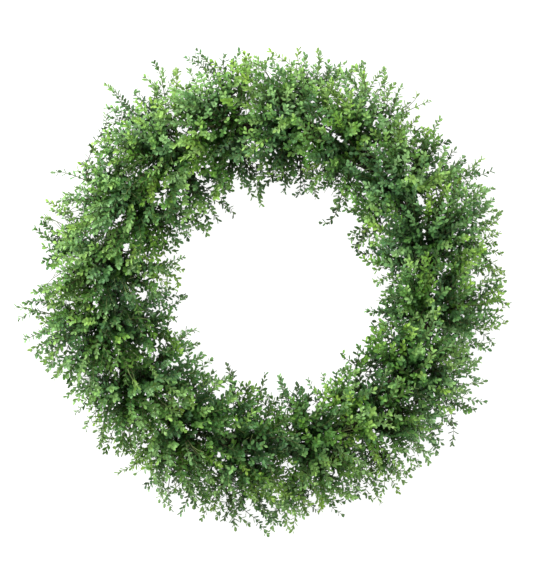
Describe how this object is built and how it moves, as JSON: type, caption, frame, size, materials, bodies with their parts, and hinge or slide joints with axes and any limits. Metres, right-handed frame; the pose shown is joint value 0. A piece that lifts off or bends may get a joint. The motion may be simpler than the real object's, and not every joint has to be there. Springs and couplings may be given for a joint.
{
  "type": "boxwood wreath",
  "caption": "Round wreath of small-leaved boxwood: leafy bunches wound with florist's wire onto a welded double-hoop wire frame, with an open middle.",
  "frame": {"origin": "middle of the wreath's footprint on the surface that it lies on, which is the centre of the ring at the back of the frame", "axes": "+Z out through the front of the wreath, +Y towards twelve o'clock, +X towards three o'clock as seen from the front"},
  "size_m": [0.771, 0.7705, 0.1259],
  "materials": {
    "frame_wire": "dull galvanised steel wire",
    "florist_wire": "dark green enamelled florist's wire",
    "leaf_inner": "satin dark green boxwood leaves on brown twigs",
    "leaf_front": "satin mid green boxwood leaves on brown twigs",
    "leaf_outer": "satin light green boxwood leaves with yellow-green young tips"
  },
  "bodies": {
    "root": {"wire_frame": "frame_wire", "binding_wire": "florist_wire", "bunch_01_inner": "leaf_inner", "bunch_01_front": "leaf_front", "bunch_01_outer": "leaf_outer", "bunch_02_inner": "leaf_inner", "bunch_02_front": "leaf_front", "bunch_02_outer": "leaf_outer", "bunch_03_inner": "leaf_inner", "bunch_03_front": "leaf_front", "bunch_03_outer": "leaf_outer", "bunch_04_inner": "leaf_inner", "bunch_04_front": "leaf_front", "bunch_04_outer": "leaf_outer", "bunch_05_inner": "leaf_inner", "bunch_05_front": "leaf_front", "bunch_05_outer": "leaf_outer", "bunch_06_inner": "leaf_inner", "bunch_06_front": "leaf_front", "bunch_06_outer": "leaf_outer", "bunch_07_inner": "leaf_inner", "bunch_07_front": "leaf_front", "bunch_07_outer": "leaf_outer", "bunch_08_inner": "leaf_inner", "bunch_08_front": "leaf_front", "bunch_08_outer": "leaf_outer", "bunch_09_inner": "leaf_inner", "bunch_09_front": "leaf_front", "bunch_09_outer": "leaf_outer", "bunch_10_inner": "leaf_inner", "bunch_10_front": "leaf_front", "bunch_10_outer": "leaf_outer", "bunch_11_inner": "leaf_inner", "bunch_11_front": "leaf_front", "bunch_11_outer": "leaf_outer", "bunch_12_inner": "leaf_inner", "bunch_12_front": "leaf_front", "bunch_12_outer": "leaf_outer", "bunch_13_inner": "leaf_inner", "bunch_13_front": "leaf_front", "bunch_13_outer": "leaf_outer", "bunch_14_inner": "leaf_inner", "bunch_14_front": "leaf_front", "bunch_14_outer": "leaf_outer", "bunch_15_inner": "leaf_inner", "bunch_15_front": "leaf_front", "bunch_15_outer": "leaf_outer", "bunch_16_inner": "leaf_inner", "bunch_16_front": "leaf_front", "bunch_16_outer": "leaf_outer"}
  },
  "joints": []
}
